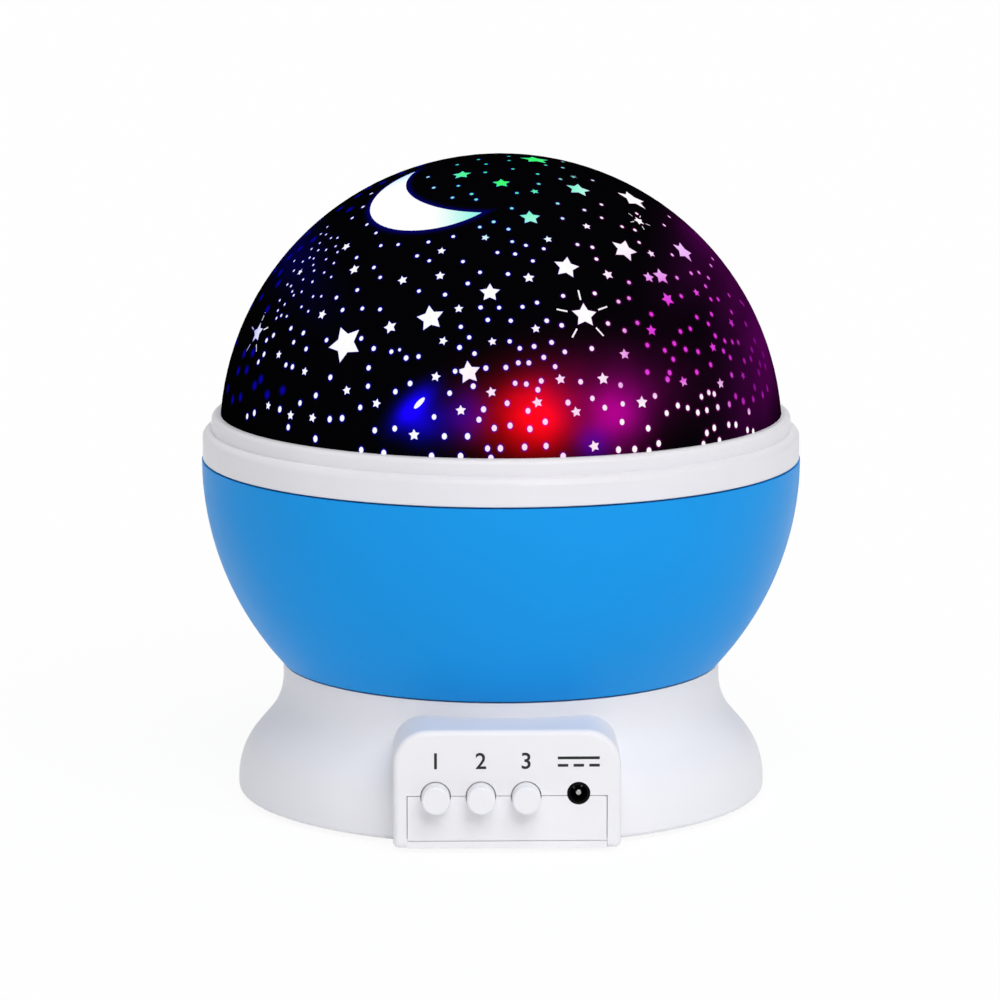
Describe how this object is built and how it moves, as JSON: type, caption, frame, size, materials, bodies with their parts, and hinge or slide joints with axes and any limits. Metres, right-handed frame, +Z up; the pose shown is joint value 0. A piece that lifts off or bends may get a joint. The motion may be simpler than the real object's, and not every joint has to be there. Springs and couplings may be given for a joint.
{
  "type": "night light projector",
  "caption": "Tabletop night light with a star-perforated dome on a turning bowl, a flared base with push buttons, and a lift-off cover.",
  "frame": {"origin": "middle of the base's footprint, on the surface that it stands on", "axes": "+Z up through the dome, -Y towards the control panel, +X to the right of someone facing the panel"},
  "size_m": [0.1304, 0.1302, 0.1402],
  "materials": {
    "white_shell": "moulded white ABS, satin gloss",
    "white_button": "moulded white ABS, satin gloss",
    "white_ring": "moulded white ABS, gloss",
    "white_inner": "moulded white plastic",
    "blue_shell": "moulded blue ABS, gloss",
    "dome": "translucent milky plastic, lit from inside",
    "mask": "black gloss coat with clear windows",
    "black_plastic": "black moulded plastic",
    "gear_plastic": "natural acetal",
    "board": "green solder resist",
    "cell": "plain dark cell sleeve",
    "steel": "zinc plated steel",
    "motor_steel": "drawn steel can",
    "pin_metal": "nickel plated",
    "rubber": "soft black rubber",
    "led_red": "red diffused epoxy",
    "led_green": "green diffused epoxy",
    "led_blue": "blue diffused epoxy",
    "led_warm": "warm white diffused epoxy",
    "lead": "PVC insulated stranded wire"
  },
  "bodies": {
    "base": {"base_shell": "white_shell", "bottom_cover": "white_shell", "rubber_feet": "rubber", "base_screws": "steel", "battery_springs": "steel", "battery_contacts": "steel", "spindle_deck": "white_inner", "deck_screws": "steel", "thrust_washer": "black_plastic", "retaining_clip": "steel", "control_board": "board", "board_screws": "steel", "tactile_switches": "black_plastic", "dc_inlet": "black_plastic", "dc_inlet_pin": "pin_metal", "geared_motor": "motor_steel", "motor_screws": "steel", "led_holder": "white_inner", "led_board": "board", "led_screws": "steel", "led_red": "led_red", "led_green": "led_green", "led_blue": "led_blue", "led_warm": "led_warm", "battery_1": "cell", "battery_2": "cell", "battery_3": "cell", "battery_4": "cell", "lamp_leads": "lead"},
    "bowl": {"bowl_shell": "blue_shell", "ring_gear": "gear_plastic", "gear_screws": "steel", "reflector_plate": "white_inner", "reflector_screws": "steel"},
    "drive": {"motor_shaft": "steel", "drive_pinion": "gear_plastic"},
    "cover": {"dome_ring": "white_ring", "star_dome": "dome", "star_mask": "mask"},
    "light_key": {"light_button": "white_button", "light_plunger": "black_plastic"},
    "colour_key": {"colour_button": "white_button", "colour_plunger": "black_plastic"},
    "spin_key": {"spin_button": "white_button", "spin_plunger": "black_plastic"},
    "battery_door": {"battery_door": "white_shell", "battery_door_screw": "steel"}
  },
  "joints": [
    {"name": "bowl_spin", "type": "hinge", "parent": "base", "child": "bowl", "pos_m": [0, 0, 0.03], "axis": [0, 0, 1], "continuous": true},
    {"name": "pinion_spin", "type": "hinge", "parent": "base", "child": "drive", "pos_m": [0, -0.027, 0.027], "axis": [0, 0, 1], "continuous": true},
    {"name": "cover_lift", "type": "slide", "parent": "bowl", "child": "cover", "axis": [0, 0, 1], "range_m": [0, 0.06]},
    {"name": "light_press", "type": "slide", "parent": "base", "child": "light_key", "axis": [0, 1, 0], "range_m": [0, 0.0008], "stiffness_N_per_m": 400, "springref_m": -0.001},
    {"name": "colour_press", "type": "slide", "parent": "base", "child": "colour_key", "axis": [0, 1, 0], "range_m": [0, 0.0008], "stiffness_N_per_m": 400, "springref_m": -0.001},
    {"name": "spin_press", "type": "slide", "parent": "base", "child": "spin_key", "axis": [0, 1, 0], "range_m": [0, 0.0008], "stiffness_N_per_m": 400, "springref_m": -0.001},
    {"name": "battery_door_swing", "type": "hinge", "parent": "base", "child": "battery_door", "pos_m": [0, -0.00658, 0.00168], "axis": [-1, 0, 0], "range_deg": [0, 60]}
  ],
  "couplings": [
    {"joint": "pinion_spin", "follows": "bowl_spin", "ratio": 5.5}
  ]
}
